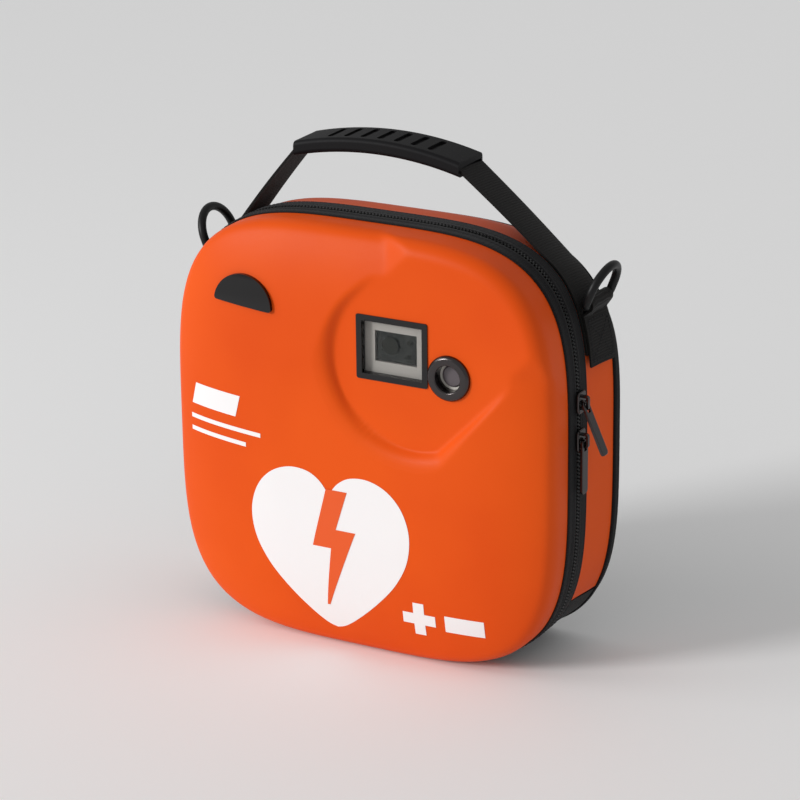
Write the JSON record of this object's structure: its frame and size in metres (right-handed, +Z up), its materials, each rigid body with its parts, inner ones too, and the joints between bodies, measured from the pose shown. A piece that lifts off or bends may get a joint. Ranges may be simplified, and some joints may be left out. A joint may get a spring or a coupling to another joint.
{
  "type": "automated external defibrillator in carrying case",
  "caption": "Automated external defibrillator in a zipped, moulded carrying case with a window over its status display, a carry handle and side rings.",
  "frame": {"origin": "on the floor under the middle of the case", "axes": "+Z up, +X to the viewer's right, the front faces -Y"},
  "size_m": [0.3183, 0.108, 0.3419],
  "materials": {
    "shell_orange": "satin moulded EVA skin",
    "black_fabric": "woven nylon",
    "black_webbing": "ribbed webbing",
    "black_plastic": "moulded",
    "gloss_black": "gloss",
    "black_nickel": "black nickel plate",
    "clear": "clear sheet",
    "unit_white": "fine texture",
    "display": "liquid crystal",
    "grey_plastic": "satin",
    "green_plastic": "satin",
    "orange_button": "translucent",
    "rubber": "matte",
    "foam": "closed-cell foam",
    "foil": "foil pouch",
    "board": "circuit board",
    "steel": "zinc plated"
  },
  "bodies": {
    "rear_case": {"rear_shell": "shell_orange", "back_panel": "black_fabric", "base_guard": "black_fabric", "hinge_tape": "black_fabric", "rear_zip_tape": "black_fabric", "rear_zip_coil": "black_plastic", "right_strap_end": "black_webbing", "right_tab": "black_webbing", "left_strap_end": "black_webbing", "left_tab": "black_webbing", "unit_front_casing": "unit_white", "unit_rear_casing": "unit_white", "casing_gasket": "rubber", "casing_screws": "steel", "display_lens": "clear", "status_display": "display", "pads_socket": "grey_plastic", "speaker": "black_plastic", "main_board": "board", "storage_capacitor": "grey_plastic", "charging_transformer": "steel", "discharge_relay": "grey_plastic", "battery_pack": "black_plastic", "foam_cradle": "foam", "hold_strap": "black_webbing", "pads_pouch": "foil"},
    "front_lid": {"front_shell": "shell_orange", "lid_lining": "black_fabric", "window_bezel": "gloss_black", "window_pane": "clear", "grommet": "black_nickel", "grommet_washer": "black_nickel", "badge_plate": "gloss_black", "front_zip_tape": "black_fabric", "front_zip_coil": "black_plastic"},
    "upper_slider": {"upper_slider": "black_nickel"},
    "lower_slider": {"lower_slider": "black_nickel"},
    "upper_pull": {"upper_pull": "black_nickel"},
    "lower_pull": {"lower_pull": "black_nickel"},
    "handle": {"handle_strap": "black_webbing", "handle_grip": "rubber"},
    "right_ring": {"right_ring": "black_plastic"},
    "left_ring": {"left_ring": "black_plastic"},
    "info_button": {"info_button": "grey_plastic"},
    "power_button": {"power_button": "green_plastic"},
    "shock_button": {"shock_button": "orange_button"},
    "age_switch": {"age_switch": "grey_plastic"}
  },
  "joints": [
    {"name": "lid_hinge", "type": "hinge", "parent": "rear_case", "child": "front_lid", "pos_m": [-0.1445, -0.005, 0.1472], "axis": [0, 0, -1], "range_deg": [0, 115]},
    {"name": "upper_slider_run", "type": "slide", "parent": "rear_case", "child": "upper_slider", "axis": [0, 0, 1], "range_m": [0, 0.012]},
    {"name": "lower_slider_run", "type": "slide", "parent": "rear_case", "child": "lower_slider", "axis": [0, 0, -1], "range_m": [0, 0.07]},
    {"name": "upper_pull_flip", "type": "hinge", "parent": "upper_slider", "child": "upper_pull", "pos_m": [0.14805, -0.005, 0.19], "axis": [0, -1, 0], "range_deg": [0, 120]},
    {"name": "lower_pull_flip", "type": "hinge", "parent": "lower_slider", "child": "lower_pull", "pos_m": [0.14805, -0.005, 0.164], "axis": [0, -1, 0], "range_deg": [0, 40]},
    {"name": "handle_swing", "type": "hinge", "parent": "rear_case", "child": "handle", "pos_m": [0, 0.0248, 0.298], "axis": [1, 0, 0], "range_deg": [-28, 28]},
    {"name": "right_ring_swing", "type": "hinge", "parent": "rear_case", "child": "right_ring", "pos_m": [0.1418, 0.0248, 0.25], "axis": [0, 1, 0], "range_deg": [-12, 112]},
    {"name": "left_ring_swing", "type": "hinge", "parent": "rear_case", "child": "left_ring", "pos_m": [-0.1418, 0.0248, 0.25], "axis": [0, -1, 0], "range_deg": [-12, 112]},
    {"name": "info_button_press", "type": "slide", "parent": "rear_case", "child": "info_button", "axis": [0, 1, 0], "range_m": [0, 0.0012], "stiffness_N_per_m": 400, "springref_m": -0.002},
    {"name": "power_button_press", "type": "slide", "parent": "rear_case", "child": "power_button", "axis": [0, 1, 0], "range_m": [0, 0.002], "stiffness_N_per_m": 500, "springref_m": -0.002},
    {"name": "shock_button_press", "type": "slide", "parent": "rear_case", "child": "shock_button", "axis": [0, 1, 0], "range_m": [0, 0.0025], "stiffness_N_per_m": 600, "springref_m": -0.002},
    {"name": "age_switch_slide", "type": "slide", "parent": "rear_case", "child": "age_switch", "axis": [0, 0, 1], "range_m": [0, 0.008]}
  ]
}
